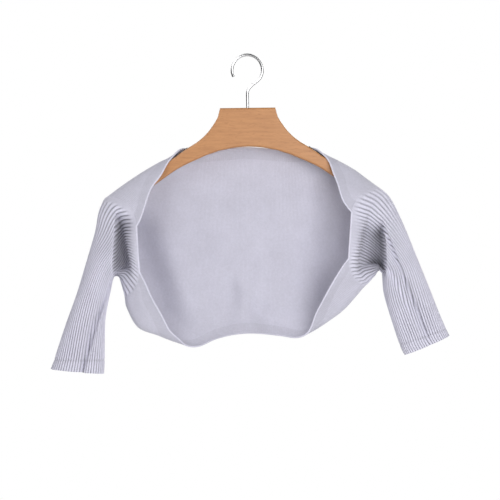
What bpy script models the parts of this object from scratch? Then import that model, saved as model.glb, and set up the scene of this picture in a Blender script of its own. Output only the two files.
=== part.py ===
# Shoulder warmer (a short open shrug in fine knit) on a wooden clothes hanger.
# Metres, +Z up, +X to the right as seen from the front, +Y away from the viewer.
# The origin is the inside of the hook's crown, where it hangs on a rail.
# Sizes below are in millimetres and angles in degrees.

import math

import bmesh
import bpy
import numpy as np

MM = 0.001
NAME = "shoulder_warmer_on_hanger"

# Gap left between pieces that meet, and at the armhole seams.
GAP = 0.3
SEAM = 0.5

# Hook: round steel wire.
WIRE = 4.0
HOOK_INNER_RADIUS = 20.0
HOOK_TIP_ANGLE = 205.0
STEM_DEPTH = 18.0

# Wooden hanger: thickness front to back, rounding of its edges, roll to its left.
WOOD_THICK = 12.5
WOOD_ROUND = 3.0
ROLL = 0.7

# Upper and lower outline of one half of the hanger, from its middle to the tip.
HANGER_COLUMNS = ("out", "top", "bottom")
HANGER_HALF = (
    (0.0, -75.0, -131.0),
    (20.0, -75.0, -132.4),
    (40.0, -75.0, -136.0),
    (43.5, -87.8, -137.0),
    (50.8, -99.8, -139.6),
    (60.2, -111.8, -142.6),
    (72.5, -122.7, -148.0),
    (85.6, -131.0, -153.6),
    (98.6, -139.6, -160.0),
    (108.8, -147.0, -166.0),
    (134.9, -160.2, -184.0),
    (156.6, -173.5, -199.0),
    (168.0, -182.5, -206.0),
    (175.0, -189.5, -209.0),
    (180.0, -197.0, -205.0),
)

# Soft strips on top of the arms that keep the cloth from slipping.
GRIP_FROM, GRIP_TO = 88.0, 165.0
GRIP_WIDE = 5.0
GRIP_THICK = 1.0

# Knit walls.
BODY_WALL = 1.6
BAND_WALL = 2.1
BAND_PROUD = 0.4
SLEEVE_WALL = 1.3
RIB_HIGH = 1.5
RIBS = 50
REST_GAP = 1.8

# Widths of the ribbed bands at the neck and the hem.
NECK_BAND = 17.0
HEM_BAND = 16.0

# Millimetres of cloth that one radian of folding counts for when rows are spaced.
ROWS_AT_FOLDS = 16.0

# How round the wall turns at its upper and lower folds, and how its lean grows from them.
FOLD_POWER = 0.75
FOLD_SOFT = 0.003
LEAN_FULL = 0.92

# The cloth is a row of rings from the left cuff over the shoulders to the right cuff.
# Each ring runs from its top point (0 degrees) over the front (90) to its base (180) and
# up the back (270, or -90). top and base are points on the outer face, y is where the ring
# turns, fore and aft are its reach to the front and the back, and lean moves its front
# towards the middle. Over the body a ring is open, from start (at the upper edge) to end
# (at the lower edge). fold is a trough at that angle: its depth and its half width.
# gather is how much closer the ribs stand at the front edge. A top of None lies on the arm.
RING_COLUMNS = (
    "top_x", "top_z", "base_x", "base_z", "y", "fore", "aft", "lean_up", "lean_low",
    "start", "end", "fold", "deep", "wide", "gather",
)
RINGS = (
    ("left cuff end", -283, -452, -206, -459, -14, 26, 24, 0, 0, 90, -270, 104, 4, 9, 0.0),
    ("left cuff seam", -278, -439, -205, -439, -14, 26, 24, 0, 0, 90, -270, 106, 4, 9, 0.0),
    ("left forearm", -272, -420, -205, -417, -14, 27, 26, 0, 0, 90, -270, 110, 5, 10, 0.0),
    ("left elbow", -260, -384, -204, -379, -13, 31, 31, 0, 0, 90, -270, 122, 5, 11, 0.0),
    ("left upper arm", -246, -345, -197, -341, -11, 36, 36, 0, 0, 90, -270, 158, 5, 14, 0.1),
    ("left under arm", -233, -301, -192, -323, -9, 40, 38, 5, 5, 90, -270, 160, 9, 26, 0.4),
    ("left sleeve head", -220, -255, -187, -320, -8, 42, 38, 16, 16, 90, -270, 132, 17, 32, 0.8),
    ("left armhole", -215, -226, -184.5, -322, -7, 43, 37, 21, 21, 90, -270, 108, 21, 34, 1.1),
    ("left seam", -207, -208, -181, -333, -6, 44, 36, 22, 22, 83, -256, 105, 0, 35, 1.2),
    ("left corner", -200, -202, -177, -350, -5, 44, 35, 39, 26, 66.6, -241, 105, 0, 30, 1.2),
    ("left front 2", -180, -187, -174, -365, -4, 42, 35, 34, 38, 50, -225.7, 105, 0, 30, 1.0),
    ("left front 3", -154, None, -158, -393, -2, 40, 34, 21, 40, 37, -220, 105, 0, 30, 0.0),
    ("left front 4", -130, None, -129, -405, 0, 36, 33, 15, 45, 26.5, -202, 105, 0, 30, 0.0),
    ("left neck side", -108, None, -103, -415, 0, 30, 33, 6, 45, 7, -192, 105, 0, 30, 0.0),
    ("left neck", -83, -122, -72, -423, 1, 28, 35, 0, 40, -24, -172, 105, 0, 30, 0.0),
    ("left back", -47, -120, -42, -416, 2, 28, 36, 0, 0, -26, -163, 105, 0, 30, 0.0),
    ("middle back", 0, -119, 0, -411, 2, 28, 36, 0, 0, -24, -160, 105, 0, 30, 0.0),
    ("right back", 45, -120, 47, -412, 2, 28, 36, 0, 0, -26, -163, 105, 0, 30, 0.0),
    ("right neck", 81, -122, 71, -410, 1, 28, 35, 0, 40, -24, -172, 105, 0, 30, 0.0),
    ("right neck side", 111, None, 94, -400, 0, 30, 33, 6, 40, 7, -190, 105, 0, 30, 0.0),
    ("right front 4", 134, None, 116, -386, 0, 36, 33, 15, 42, 29, -205, 105, 0, 30, 0.0),
    ("right front 3", 156, None, 140, -368, -2, 40, 34, 26, 42, 41, -217, 105, 0, 30, 0.0),
    ("right front 2", 174, -178, 158, -348, -4, 42, 35, 34, 38, 52, -228, 105, 0, 30, 1.0),
    ("right corner", 189, -189, 170, -334, -5, 44, 35, 37, 28, 61, -244, 105, 0, 30, 1.2),
    ("right seam", 198, -195, 176, -329, -6, 44, 36, 24, 24, 74, -258, 105, 0, 35, 1.2),
    ("right armhole", 210, -209, 184, -320, -7, 43, 37, 26, 26, 90, -270, 105, 22, 35, 1.1),
    ("right sleeve head", 227, -245, 191, -311, -8, 42, 38, 18, 18, 90, -270, 130, 18, 28, 0.8),
    ("right under arm", 247, -295, 195, -314, -9, 40, 38, 4, 4, 90, -270, 122, 9, 15, 0.4),
    ("right upper arm", 263, -335, 197, -341, -11, 36, 36, 0, 0, 90, -270, 109, 6, 12, 0.1),
    ("right elbow", 277, -371, 205, -371, -13, 31, 31, 0, 0, 90, -270, 99, 5, 10, 0.0),
    ("right cuff seam", 287, -394, 220, -417, -14, 26, 25, 0, 0, 90, -270, 90, 4, 9, 0.0),
    ("right cuff end", 292, -404, 227, -432, -14, 26, 24, 0, 0, 90, -270, 87, 4, 9, 0.0),
)
PLACES = [row[0] for row in RINGS]

# Soft folds of the hanging cloth, each along a line from one point to another of the
# front view. deep pushes the back panel (or the front) that much to the front.
FOLD_COLUMNS = ("panel", "from_x", "from_z", "to_x", "to_z", "wide", "deep")
FOLDS = (
    ("back", -135, -215, -92, -400, 26, -9),
    ("back", -104, -260, -60, -400, 24, 8),
    ("back", -22, -345, -30, -400, 13, -5),
    ("back", -6, -330, 2, -385, 12, 5),
    ("back", 62, -270, 52, -360, 26, 5),
    ("back", 30, -350, 90, -385, 20, -7),
    ("back", 110, -180, 120, -330, 28, -7),
    ("front", 108, -352, 132, -318, 8, 3),
    ("front", 122, -372, 158, -330, 9, -3),
    ("front", -142, -345, -126, -385, 10, -3),
    ("front", -160, -330, -150, -372, 9, 3),
)

# Base colours as they show in soft daylight, roughness and metallic value.
LILAC = (0.62, 0.59, 0.66, 1.0)
BEECH = (0.58, 0.33, 0.15, 1.0)
STEEL = (0.62, 0.62, 0.63, 1.0)
CHARCOAL = (0.05, 0.05, 0.055, 1.0)


def place(name):
    """Position of a named ring in the row of rings."""
    return float(PLACES.index(name))


def half_height(out, column):
    """Height of the hanger's upper or lower outline at a distance from its middle."""
    at = HANGER_COLUMNS.index(column)
    return float(np.interp(out, [row[0] for row in HANGER_HALF], [row[at] for row in HANGER_HALF]))


def rolled(x, z):
    """Point of the level hanger after its slight roll about the hook's crown."""
    turn = math.radians(-ROLL)
    return x * math.cos(turn) + z * math.sin(turn), -x * math.sin(turn) + z * math.cos(turn)


def carried_height(x):
    """Height of the cloth's outer face on top of the arm, with the strip under it."""
    step = 2.0
    stack = GAP + GRIP_THICK + REST_GAP + BODY_WALL
    level_x, height = x, 0.0
    for _ in range(4):
        out = abs(level_x)
        slope = (half_height(out - step, "top") - half_height(out + step, "top")) / (2 * step)
        level = half_height(out, "top") + stack * math.hypot(1.0, slope)
        found_x, height = rolled(level_x, level)
        level_x += x - found_x
    return height


def ring_numbers():
    """The ring table as numbers, with the tops that lie on the arms filled in."""
    rows = []
    for row in RINGS:
        numbers = list(row[1:])
        if numbers[1] is None:
            numbers[1] = carried_height(numbers[0])
        rows.append(numbers)
    return np.array(rows, float)


NUMBERS = ring_numbers()


def column(u, name):
    """One column of the ring table read smoothly at fractional places."""
    values = NUMBERS[:, RING_COLUMNS.index(name)]
    last = len(values) - 1
    u = np.clip(np.asarray(u, float), 0.0, last)
    i = np.minimum(u.astype(int), last - 1)
    t = u - i
    before, a = values[np.maximum(i - 1, 0)], values[i]
    b, after = values[i + 1], values[np.minimum(i + 2, last)]
    bend = 2 * before - 5 * a + 4 * b - after
    return 0.5 * (2 * a + (b - before) * t + bend * t**2 + (3 * a - before - 3 * b + after) * t**3)


def turned(angle):
    """Reach of a ring at an angle, 0 at its folds and 1 at its middle."""
    soft = FOLD_SOFT ** (FOLD_POWER / 2)
    s = np.sin(angle) ** 2
    return ((s + FOLD_SOFT) ** (FOLD_POWER / 2) - soft) / ((1 + FOLD_SOFT) ** (FOLD_POWER / 2) - soft)


def fold_push(x, z, back):
    """How far the soft folds push the cloth at points of the front view."""
    push = np.zeros_like(x)
    for panel, from_x, from_z, to_x, to_z, wide, deep in FOLDS:
        long_x, long_z = to_x - from_x, to_z - from_z
        length = math.hypot(long_x, long_z)
        along = ((x - from_x) * long_x + (z - from_z) * long_z) / length
        across = ((x - from_x) * long_z - (z - from_z) * long_x) / length
        past = np.maximum(np.maximum(-along, along - length), 0.0)
        away = (across / wide) ** 2 + (past / (1.5 * wide)) ** 2
        share = back if panel == "back" else 1.0 - back
        push += share * deep * np.exp(-away)
    return push


def cloth(u, angle):
    """Points of the cloth's outer face at places u and angles round the rings."""
    u, degrees = np.broadcast_arrays(np.asarray(u, float), np.asarray(angle, float))
    a = np.radians(degrees)
    get = {name: column(u, name) for name in RING_COLUMNS[:9] + RING_COLUMNS[11:14]}
    front = np.sin(a) > 0
    reach = turned(a)
    share = 0.5 * (1 + np.cos(a))
    lean = get["lean_low"] + (get["lean_up"] - get["lean_low"]) * share
    grow = np.minimum(np.abs(np.sin(a)) / LEAN_FULL, 1.0)
    side = np.sign(-get["top_x"])
    x = get["base_x"] + (get["top_x"] - get["base_x"]) * share
    x = x + np.where(front, side * lean * (3 * grow**2 - 2 * grow**3), 0.0)
    z = get["base_z"] + (get["top_z"] - get["base_z"]) * share
    y = get["y"] + np.where(front, -get["fore"], get["aft"]) * reach
    back = 0.5 - 0.5 * np.clip(np.sin(a) / 0.6, -1.0, 1.0)
    edge = np.minimum(reach / 0.75, 1.0) ** 2
    y = y - edge * fold_push(x, z, back)
    points = np.stack([x, y, z], axis=-1)
    centre = np.stack([
        0.5 * (get["top_x"] + get["base_x"]),
        get["y"] + 0.5 * (get["aft"] - get["fore"]),
        0.5 * (get["top_z"] + get["base_z"]),
    ], axis=-1)
    inward = centre - points
    inward /= np.linalg.norm(inward, axis=-1, keepdims=True) + 1e-9
    off = (degrees - get["fold"] + 180.0) % 360.0 - 180.0
    trough = get["deep"] * np.exp(-((off / get["wide"]) ** 2))
    return points + inward * trough[..., None]


def outward(u, angle):
    """Unit normals of the cloth's outer face."""
    du, da = 0.04, 1.5
    along = cloth(np.asarray(u) + du, angle) - cloth(np.asarray(u) - du, angle)
    around = cloth(u, np.asarray(angle) + da) - cloth(u, np.asarray(angle) - da)
    normal = np.cross(around, along)
    return normal / (np.linalg.norm(normal, axis=-1, keepdims=True) + 1e-12)


def ring_run(u, first, last, samples=241):
    """Angles along one ring and the distance from the first to each of them."""
    angles = np.linspace(first, last, samples)
    points = cloth(np.full(samples, u), angles)
    steps = np.linalg.norm(np.diff(points, axis=0), axis=1)
    return angles, np.concatenate([[0.0], np.cumsum(steps)])


def open_span(u):
    """Angles at which an open ring starts and ends: constant outside the two corners."""
    inside = min(max(u, place("left corner")), place("right corner"))
    return float(column(inside, "start")), float(column(inside, "end"))


def mesh_object(name, vertices, faces, colour, roughness, metallic=0.0):
    """A named object of these faces with its own material."""
    mesh = bpy.data.meshes.new(name)
    mesh.from_pydata([tuple(float(c) * MM for c in v) for v in vertices], [], faces)
    mesh.validate()
    work = bmesh.new()
    work.from_mesh(mesh)
    bmesh.ops.recalc_face_normals(work, faces=work.faces)
    bmesh.ops.triangulate(work, faces=work.faces)
    work.to_mesh(mesh)
    work.free()
    obj = bpy.data.objects.new(name, mesh)
    PARTS.objects.link(obj)
    finish(obj, colour, roughness, metallic)
    return obj


def finish(obj, colour, roughness, metallic=0.0):
    """Give an object its own material and smooth shading with sharp edges kept."""
    material = bpy.data.materials.new(obj.name)
    material.use_nodes = True
    shader = material.node_tree.nodes["Principled BSDF"]
    shader.inputs["Base Color"].default_value = colour
    shader.inputs["Roughness"].default_value = roughness
    shader.inputs["Metallic"].default_value = metallic
    obj.data.materials.clear()
    obj.data.materials.append(material)
    if obj.type == "MESH":
        obj.data.shade_smooth()
        obj.data.set_sharp_from_angle(angle=math.radians(40))


def sheet_solid(name, u, angle, out, thick, colour, roughness):
    """Closed wall over a grid of places and angles; out lifts its outer face."""
    normal = outward(u, angle)
    face = cloth(u, angle)
    outer = face + normal * out
    inner = face + normal * (out - thick)
    rows, columns = u.shape
    vertices = np.concatenate([outer.reshape(-1, 3), inner.reshape(-1, 3)])
    back = rows * columns
    faces = []
    for i in range(rows - 1):
        for j in range(columns - 1):
            a = i * columns + j
            faces.append((a, a + 1, a + columns + 1, a + columns))
            faces.append((back + a + columns, back + a + columns + 1, back + a + 1, back + a))
    rim = [j for j in range(columns)]
    rim += [i * columns + columns - 1 for i in range(1, rows)]
    rim += [(rows - 1) * columns + j for j in range(columns - 2, -1, -1)]
    rim += [i * columns for i in range(rows - 2, 0, -1)]
    for k, a in enumerate(rim):
        b = rim[(k + 1) % len(rim)]
        faces.append((a, back + a, back + b, b))
    return mesh_object(name, vertices, faces, colour, roughness)


def ring_turning(u, angles):
    """How far a ring's direction has turned by each angle, in radians."""
    points = cloth(np.full(len(angles), u), angles)
    way = np.diff(points, axis=0)
    way /= np.linalg.norm(way, axis=1, keepdims=True)
    bends = np.arccos(np.clip(np.sum(way[1:] * way[:-1], axis=1), -1.0, 1.0))
    return np.concatenate([[0.0], np.cumsum(bends), [bends.sum()]])


def band_grid(places, first, last, rows, closer=0.0):
    """Grid between two distances from the start of each ring; below 0 is from its end.

    closer is how many millimetres of cloth one radian of turning counts for, so that the
    rows stand closer where the cloth folds.
    """
    grid_u = np.repeat(np.asarray(places)[:, None], rows, axis=1)
    grid_a = np.zeros_like(grid_u)
    for i, u in enumerate(places):
        start, end = open_span(u)
        angles, run = ring_run(u, start, end)
        near = first if first >= 0 else run[-1] + first
        far = last if last > 0 else run[-1] + last
        weight = run + closer * ring_turning(u, angles)
        bounds = np.interp([near, far], run, weight)
        grid_a[i] = np.interp(np.linspace(bounds[0], bounds[1], rows), weight, angles)
    return grid_u, grid_a


def rib_angles(u, count):
    """Angles of count points round a closed ring, closer where the ribs are gathered."""
    angles, run = ring_run(u, 0.0, 360.0, 721)
    off = (angles - 92.0) / 35.0
    density = 1.0 + float(column(u, "gather")) * np.exp(-(off**2))
    steps = np.diff(run) * 0.5 * (density[1:] + density[:-1])
    weight = np.concatenate([[0.0], np.cumsum(steps)])
    return np.interp(np.arange(count) * weight[-1] / count, weight, angles)


def ribbed_tube(name, places, high, wall, colour, roughness):
    """Closed tube wall with ribs along it: raised outer points over a plain inside."""
    outer, inner = [], []
    for u in places:
        a = rib_angles(u, RIBS * 2)
        face, normal = cloth(np.full(a.shape, u), a), outward(np.full(a.shape, u), a)
        pitch = np.linalg.norm(np.roll(face, -1, axis=0) - np.roll(face, 1, axis=0), axis=1)
        rise = np.where(np.arange(len(a)) % 2 == 1, np.minimum(high, pitch * 0.3), 0.0)
        outer.append(face + normal * (rise - high)[:, None])
        inner.append((face - normal * (high + wall))[::2])
    rings, around = len(places), RIBS * 2
    vertices = np.concatenate([np.concatenate(outer), np.concatenate(inner)])
    base = rings * around
    faces = []
    for i in range(rings - 1):
        for j in range(around):
            a, b = i * around + j, i * around + (j + 1) % around
            faces.append((a, b, b + around, a + around))
        for j in range(RIBS):
            a, b = base + i * RIBS + j, base + i * RIBS + (j + 1) % RIBS
            faces.append((a + RIBS, b + RIBS, b, a))
    for i in (0, rings - 1):
        for j in range(RIBS):
            a, b = base + i * RIBS + j, base + i * RIBS + (j + 1) % RIBS
            low, top = i * around + 2 * j, i * around + 2 * j + 1
            after = i * around + (2 * j + 2) % around
            rim = [(a, low, top), (a, top, b), (b, top, after)]
            faces += rim if i else [face[::-1] for face in rim]
    return mesh_object(name, vertices, faces, colour, roughness)


def shifted(u, distance, side):
    """Place a distance further along the cloth from u, on its back; side is +1 or -1."""
    step = 0.05 * side
    length = float(np.linalg.norm(cloth(u + step, -90.0) - cloth(u, -90.0)))
    return u + step * distance / length


def make_cloth():
    """Body panel, bands, sleeves and cuffs."""
    left, right = place("left corner"), place("right corner")
    inner_left = shifted(left, SEAM / 2, 1)
    inner_right = shifted(right, SEAM / 2, -1)
    middle = np.arange(left + 0.5, right - 0.4, 0.5)
    places = np.concatenate([[inner_left], middle, [inner_right]])

    u, a = band_grid(places, NECK_BAND + GAP, -(HEM_BAND + GAP), 32, ROWS_AT_FOLDS)
    sheet_solid("body", u, a, 0.0, BODY_WALL, LILAC, 0.9)
    u, a = band_grid(places, 0.0, NECK_BAND, 3)
    sheet_solid("neck_band", u, a, BAND_PROUD, BAND_WALL, LILAC, 0.9)
    u, a = band_grid(places, -HEM_BAND, 0.0, 3)
    sheet_solid("hem_band", u, a, BAND_PROUD, BAND_WALL, LILAC, 0.9)

    for side, corner, step in (("left", left, -1), ("right", right, 1)):
        head = shifted(corner, SEAM / 2, step)
        elbow, cuff = place(side + " elbow"), place(side + " cuff seam")
        end = place(side + " cuff end")
        knit = [head] + [corner + t * step for t in (0.5, 1, 1.5, 2, 2.35, 2.7, 3.1, 3.6, 4.2)]
        knit += list(np.linspace(corner + 5 * step, elbow, 2))
        knit += list(np.linspace(elbow + 0.8 * step, shifted(cuff, GAP / 2, -step), 2))
        ribbed_tube("sleeve_" + side, sorted(knit), RIB_HIGH, SLEEVE_WALL, LILAC, 0.9)
        rim = sorted([shifted(cuff, GAP / 2, step), 0.5 * (cuff + end), end])
        ribbed_tube("cuff_" + side, rim, 0.6 * RIB_HIGH, BAND_WALL, LILAC, 0.9)


def loft(name, sections, colour, roughness):
    """Closed solid through sections of equally many points, capped at both ends."""
    count = len(sections[0])
    vertices = [point for section in sections for point in section]
    faces = [tuple(range(count)), tuple(range(len(vertices) - count, len(vertices)))]
    for i in range(len(sections) - 1):
        for j in range(count):
            a, b = i * count + j, i * count + (j + 1) % count
            faces.append((a, b, b + count, a + count))
    return mesh_object(name, vertices, faces, colour, roughness)


def wood_section(x, top, bottom):
    """Upright section of the hanger: a rectangle with rounded corners."""
    half = WOOD_THICK / 2
    turn = min(WOOD_ROUND, (top - bottom) / 2 - 0.2)
    corners = ((1, top, 0), (-1, top, 90), (-1, bottom, 180), (1, bottom, 270))
    points = []
    for side, edge, start in corners:
        centre_y = side * (half - turn)
        centre_z = edge - turn if edge == top else edge + turn
        for step in (0, 45, 90):
            a = math.radians(start + step)
            new_x, new_z = rolled(x, centre_z + turn * math.sin(a))
            points.append((new_x, centre_y + turn * math.cos(a), new_z))
    return points


def make_hanger():
    """Wooden hanger with its hook and the two strips on its arms."""
    right = [wood_section(*row) for row in HANGER_HALF]
    left = [wood_section(-row[0], row[1], row[2]) for row in HANGER_HALF[:0:-1]]
    wood = loft("hanger", left + right, BEECH, 0.5)

    top = half_height(0.0, "top")
    bore = WIRE / 2 + GAP
    bpy.ops.mesh.primitive_cylinder_add(
        vertices=16, radius=bore * MM, depth=2 * STEM_DEPTH * MM, location=(0.0, 0.0, top * MM)
    )
    drill = bpy.context.active_object
    drill.name = "stem_bore"
    drill.rotation_euler = (0.0, math.radians(-ROLL), 0.0)
    x, z = rolled(0.0, top)
    drill.location = (x * MM, 0.0, z * MM)
    for collection in list(drill.users_collection):
        collection.objects.unlink(drill)
    CUTTERS.objects.link(drill)
    drill.hide_render = True
    drill.display_type = "WIRE"
    cut = wood.modifiers.new("stem_bore", "BOOLEAN")
    cut.operation = "DIFFERENCE"
    cut.object = drill

    radius = HOOK_INNER_RADIUS + WIRE / 2
    centre = -HOOK_INNER_RADIUS
    stem_foot = top - STEM_DEPTH + GAP
    path = [(0.0, stem_foot), (0.0, top), (0.0, -53.0), (1.5, -48.0), (6.0, -42.8), (12.5, -37.8)]
    for angle in np.linspace(-35.0, HOOK_TIP_ANGLE, 17):
        a = math.radians(angle)
        path.append((radius * math.cos(a), centre + radius * math.sin(a)))
    curve = bpy.data.curves.new("hook", "CURVE")
    curve.dimensions = "3D"
    curve.bevel_depth = WIRE / 2 * MM
    curve.bevel_resolution = 2
    curve.use_fill_caps = True
    spline = curve.splines.new("POLY")
    spline.points.add(len(path) - 1)
    for point, (px, pz) in zip(spline.points, path):
        new_x, new_z = rolled(px, pz)
        point.co = (new_x * MM, 0.0, new_z * MM, 1.0)
    hook = bpy.data.objects.new("hook", curve)
    PARTS.objects.link(hook)
    finish(hook, STEEL, 0.3, 1.0)

    for side, sign in (("left", -1), ("right", 1)):
        sections = []
        for out in np.linspace(GRIP_FROM, GRIP_TO, 8):
            slope = (half_height(out - 2, "top") - half_height(out + 2, "top")) / 4
            stretch = math.hypot(1.0, slope)
            low = half_height(out, "top") + GAP * stretch
            high = low + GRIP_THICK * stretch
            half = GRIP_WIDE / 2
            section = []
            for y, level in ((-half, low), (half, low), (half, high - 0.3), (half - 0.5, high),
                             (0.5 - half, high), (-half, high - 0.3)):
                new_x, new_z = rolled(sign * out, level)
                section.append((new_x, y, new_z))
            sections.append(section)
        loft("grip_" + side, sections, CHARCOAL, 0.8)


for item in list(bpy.data.objects):
    bpy.data.objects.remove(item, do_unlink=True)
PARTS = bpy.data.collections.new(NAME)
CUTTERS = bpy.data.collections.new("cutters")
for group in (PARTS, CUTTERS):
    bpy.context.scene.collection.children.link(group)
make_hanger()
make_cloth()
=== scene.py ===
# Looks of the shoulder warmer (a short open shrug in fine knit) on its wooden hanger.
# Sizes are in millimetres and angles in degrees. A name that ends in _m or _M is in metres.
# The ring table and the hanger's outline are the same as in the part's source. The folds
# and creases are finer here, and push the cloth straight to the front or back.

import math

import bmesh
import bpy
import numpy as np
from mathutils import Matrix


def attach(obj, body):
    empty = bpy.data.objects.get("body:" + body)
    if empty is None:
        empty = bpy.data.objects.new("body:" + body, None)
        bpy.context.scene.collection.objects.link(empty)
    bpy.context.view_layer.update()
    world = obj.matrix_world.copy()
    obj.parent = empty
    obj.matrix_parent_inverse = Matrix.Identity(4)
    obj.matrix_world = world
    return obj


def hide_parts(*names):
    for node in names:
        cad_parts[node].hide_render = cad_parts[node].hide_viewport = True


MM = 0.001
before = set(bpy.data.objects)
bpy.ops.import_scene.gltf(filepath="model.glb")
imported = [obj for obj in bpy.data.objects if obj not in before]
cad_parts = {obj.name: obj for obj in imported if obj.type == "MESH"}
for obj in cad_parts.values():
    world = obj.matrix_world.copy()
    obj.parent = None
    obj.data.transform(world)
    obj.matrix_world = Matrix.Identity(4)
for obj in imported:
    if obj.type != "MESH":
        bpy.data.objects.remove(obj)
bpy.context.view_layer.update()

# Gap between the wooden arms and the strips that lie on them.
GAP = 0.3

# Hook of round steel wire: its bow runs between two angles, and its neck goes up from the
# wood through points given by x and z.
WIRE = 4.0
HOOK_INNER_RADIUS = 20.0
HOOK_START_ANGLE = -35.0
HOOK_TIP_ANGLE = 205.0
HOOK_NECK = ((0.0, -66.0), (0.0, -53.0), (1.5, -48.0), (6.0, -42.8), (12.5, -37.8))
STEM_DEPTH = 18.0

# Wooden hanger: thickness front to back, rounding of its edges, roll to its left. The
# cloth rests a small gap above the strips. WOOD_FLAT is the least that rounding leaves of
# its half height. The table is the outline on one side of its middle: distance out, and
# heights of the upper and lower edge there.
WOOD_THICK = 12.5
WOOD_ROUND = 3.0
WOOD_FLAT = 0.2
ROLL = 0.7
STRIP_THICK = 1.0
REST_GAP = 1.8
HANGER_COLUMNS = ("out", "top", "bottom")
HANGER_HALF = (
    (0.0, -75.0, -131.0),
    (20.0, -75.0, -132.4),
    (40.0, -75.0, -136.0),
    (43.5, -87.8, -137.0),
    (50.8, -99.8, -139.6),
    (60.2, -111.8, -142.6),
    (72.5, -122.7, -148.0),
    (85.6, -131.0, -153.6),
    (98.6, -139.6, -160.0),
    (108.8, -147.0, -166.0),
    (134.9, -160.2, -184.0),
    (156.6, -173.5, -199.0),
    (168.0, -182.5, -206.0),
    (175.0, -189.5, -209.0),
    (180.0, -197.0, -205.0),
)

# Knit walls and bands. Linked seams show as a hairline, so the pieces all but touch.
SEAM_LINE = 0.05
BODY_WALL = 1.6
BAND_WALL = 2.1
BAND_PROUD = 0.15
SLEEVE_WALL = 2.8
CUFF_WALL = 3.0
NECK_BAND = 17.0
HEM_BAND = 16.0

# Ribs of the sleeves and cuffs: how many there are, their greatest depth, and their depth
# as a share of what their width is over RIB_THIN. A lower RIB_ROUND makes a fuller rib.
RIBS = 50
RIB_DEEP = 2.3
CUFF_RIB_DEEP = 1.5
RIB_SHARE = 0.8
RIB_THIN = 1.2
RIB_ROUND = 0.6

# Fine ribs of the bands, and radius and sides of the cord round the open front.
FINE_RIB = 2.9
FINE_RIB_DEEP = 0.45
EDGE_CORD = 1.25
EDGE_SIDES = 8

# Where the sleeves' ribs begin, as distances from the seam: later on top of the shoulder,
# and slowly beside the upright edges of the opening.
RIBS_AFTER_TOP = {"left": 13.0, "right": 3.0}
RIBS_RISE = 5.0
RIBS_SLOW_RISE = 27.0
SLOW_AT_ANGLE = 86.0
SLOW_WIDE = 21.0

# Fineness of the grids: points a rib, spacing of rings, rows over the body, cloth that one
# radian of folding counts for when rows are spaced, sections of half the wood, and how
# many of its first rows are joined straight. A bend over SHARP_ANGLE is shaded as an edge.
SHARP_ANGLE = 62.0
RIB_POINTS = 6
RING_STEP = 2.6
BODY_ROWS = 150
ROWS_AT_FOLDS = 10.0
WOOD_SECTIONS = 85
STRAIGHT_ROWS = 4

# Rows over a band and points over each of its ribs, steps along the opening's cord on the
# body and up its uprights, points on a rounded edge of the wood, and the wire's fineness.
BAND_ROWS = 8
FINE_RIB_POINTS = 4
EDGE_STEP = 2.0
UPRIGHT_STEPS = 50
ROUND_STEPS = 7
BOW_STEPS = 17
WIRE_RINGS = 120
WIRE_SIDES = 20

# How round the wall turns at its upper and lower folds, and how its lean grows from them.
FOLD_POWER = 0.75
FOLD_SOFT = 0.003
LEAN_FULL = 0.92

# Folds and creases have their whole depth where a wall has EDGE_REACH of its reach. Front
# changes into back within the sine BACK_TURN of a ring's top and base. A soft fold fades
# over FOLD_END times its width past its ends.
EDGE_REACH = 0.75
BACK_TURN = 0.6
FOLD_END = 1.5

# Where round a sleeve's rings the ribs are gathered, and how wide that is.
GATHER_AT = 92.0
GATHER_WIDE = 35.0

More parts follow.
